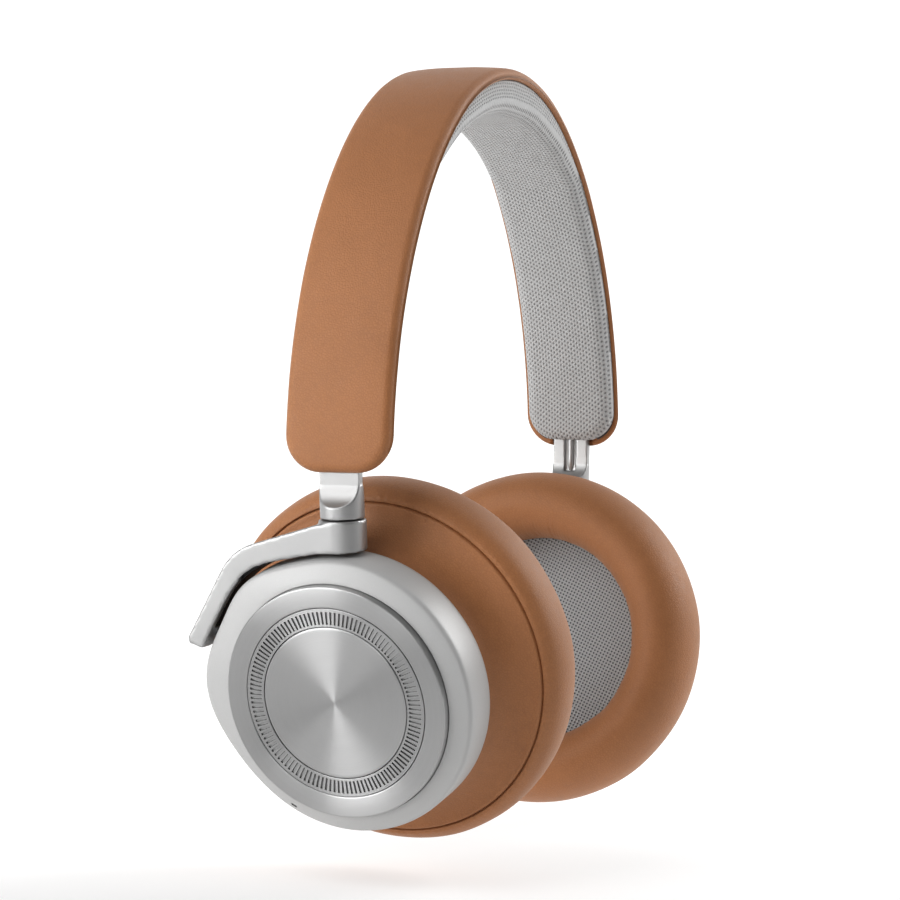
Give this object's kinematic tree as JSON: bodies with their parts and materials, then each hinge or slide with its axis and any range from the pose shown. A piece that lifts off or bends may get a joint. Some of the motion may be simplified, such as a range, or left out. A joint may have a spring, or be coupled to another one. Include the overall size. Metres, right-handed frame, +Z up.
{
  "type": "over-ear headphones",
  "caption": "Over-ear headphones with a leather-covered sprung headband, curved sliders, one-sided swivel arms and tilting round ear cups with leather cushions.",
  "frame": {"origin": "middle of the headband's underside, where the pad rests on the crown of a head", "axes": "+Z up along the plane of symmetry, +X towards the wearer's left, -Y towards the wearer's front"},
  "size_m": [0.1819, 0.0925, 0.1995],
  "materials": {
    "tan_leather": "fine-grained tan leather, satin",
    "grey_knit": "light grey mesh knit with small open cells",
    "screen_fabric": "grey woven acoustic fabric",
    "grey_shell": "light grey painted polymer, fine satin",
    "satin_aluminium": "bead-blasted and anodised",
    "brushed_aluminium": "turned, circular brushing",
    "slotted_aluminium": "turned, with dark slots",
    "dark_plastic": "moulded, dark grey",
    "black_plastic": "moulded, black",
    "cable_jacket": "black jacket",
    "spring_steel": "bright spring steel",
    "bushing_brass": "machined",
    "magnet_steel": "nickel plated",
    "foam": "soft open-cell foam",
    "board_green": "solder-masked laminate",
    "diaphragm_film": "thin formed film with its coil",
    "battery_wrap": "wrapped pouch cell",
    "control_grey": "satin grey key"
  },
  "bodies": {
    "headband": {"leather_cover": "tan_leather", "band_core": "dark_plastic", "spring_band": "spring_steel", "foam_pad": "foam", "knit_cover": "grey_knit", "headband_cable": "cable_jacket", "end_guide_r": "dark_plastic", "end_guide_l": "dark_plastic", "friction_spring_r": "spring_steel", "friction_spring_l": "spring_steel"},
    "slider_r": {"slider_bar_r": "satin_aluminium", "cable_rib_r": "satin_aluminium", "swivel_clip_r": "spring_steel"},
    "arm_r": {"arm_r": "satin_aluminium", "arm_liner_r": "black_plastic", "tilt_pin_r": "spring_steel"},
    "slider_l": {"slider_bar_l": "satin_aluminium", "cable_rib_l": "satin_aluminium", "swivel_clip_l": "spring_steel"},
    "arm_l": {"arm_l": "satin_aluminium", "arm_liner_l": "black_plastic", "tilt_pin_l": "spring_steel"},
    "cup_r": {"housing_r": "grey_shell", "disc_rim_r": "brushed_aluminium", "slot_ring_r": "slotted_aluminium", "centre_plate_r": "brushed_aluminium", "tilt_bushing_r": "bushing_brass", "circuit_board_r": "board_green", "driver_frame_r": "black_plastic", "magnet_r": "magnet_steel", "diaphragm_r": "diaphragm_film", "baffle_r": "dark_plastic", "fabric_screen_r": "screen_fabric", "cushion_ring_r": "black_plastic", "ear_cushion_r": "tan_leather", "microphones_r": "black_plastic", "cup_screws_r": "spring_steel", "battery": "battery_wrap", "usb_socket": "spring_steel"},
    "cup_l": {"housing_l": "grey_shell", "disc_rim_l": "brushed_aluminium", "slot_ring_l": "slotted_aluminium", "centre_plate_l": "brushed_aluminium", "tilt_bushing_l": "bushing_brass", "circuit_board_l": "board_green", "driver_frame_l": "black_plastic", "magnet_l": "magnet_steel", "diaphragm_l": "diaphragm_film", "baffle_l": "dark_plastic", "fabric_screen_l": "screen_fabric", "cushion_ring_l": "black_plastic", "ear_cushion_l": "tan_leather", "microphones_l": "black_plastic", "cup_screws_l": "spring_steel", "jack_socket": "black_plastic"},
    "volume_up": {"volume_up": "control_grey"},
    "volume_down": {"volume_down": "control_grey"},
    "power_switch": {"power_switch": "control_grey"},
    "noise_button": {"noise_button": "control_grey"}
  },
  "joints": [
    {"name": "slider_right", "type": "hinge", "parent": "headband", "child": "slider_r", "pos_m": [0.02199, 0, -0.08841], "axis": [0, -1, 0], "range_deg": [-1.8, 14.5]},
    {"name": "swivel_right", "type": "hinge", "parent": "slider_r", "child": "arm_r", "pos_m": [-0.08214, 0, -0.1009], "axis": [0.0811, 0, -0.9967], "range_deg": [-90, 8]},
    {"name": "tilt_right", "type": "hinge", "parent": "arm_r", "child": "cup_r", "pos_m": [-0.07987, 0, -0.1288], "axis": [-0.0643, -0.9979, -0.0052], "range_deg": [-15.7, 2.3]},
    {"name": "slider_left", "type": "hinge", "parent": "headband", "child": "slider_l", "pos_m": [-0.02199, 0, -0.08841], "axis": [0, 1, 0], "range_deg": [-3.15, 13.15]},
    {"name": "swivel_left", "type": "hinge", "parent": "slider_l", "child": "arm_l", "pos_m": [0.08182, 0, -0.10335], "axis": [0.1045, 0, 0.9945], "range_deg": [-90, 8]},
    {"name": "tilt_left", "type": "hinge", "parent": "arm_l", "child": "cup_l", "pos_m": [0.07889, 0, -0.13119], "axis": [-0.0382, 0.9993, 0.004], "range_deg": [-9, 9]},
    {"name": "volume_up_press", "type": "slide", "parent": "cup_r", "child": "volume_up", "axis": [-0.1571, -0.877, 0.454], "range_m": [0, 0.0004], "stiffness_N_per_m": 1200},
    {"name": "volume_down_press", "type": "slide", "parent": "cup_r", "child": "volume_down", "axis": [-0.1947, -0.7118, 0.6748], "range_m": [0, 0.0004], "stiffness_N_per_m": 1200},
    {"name": "power_switch_slide", "type": "slide", "parent": "cup_r", "child": "power_switch", "axis": [-0.0934, -0.987, 0.1308], "range_m": [0, 0.0022]},
    {"name": "noise_button_press", "type": "slide", "parent": "cup_l", "child": "noise_button", "axis": [0.1025, -0.808, 0.5802], "range_m": [0, 0.0004], "stiffness_N_per_m": 1200}
  ]
}
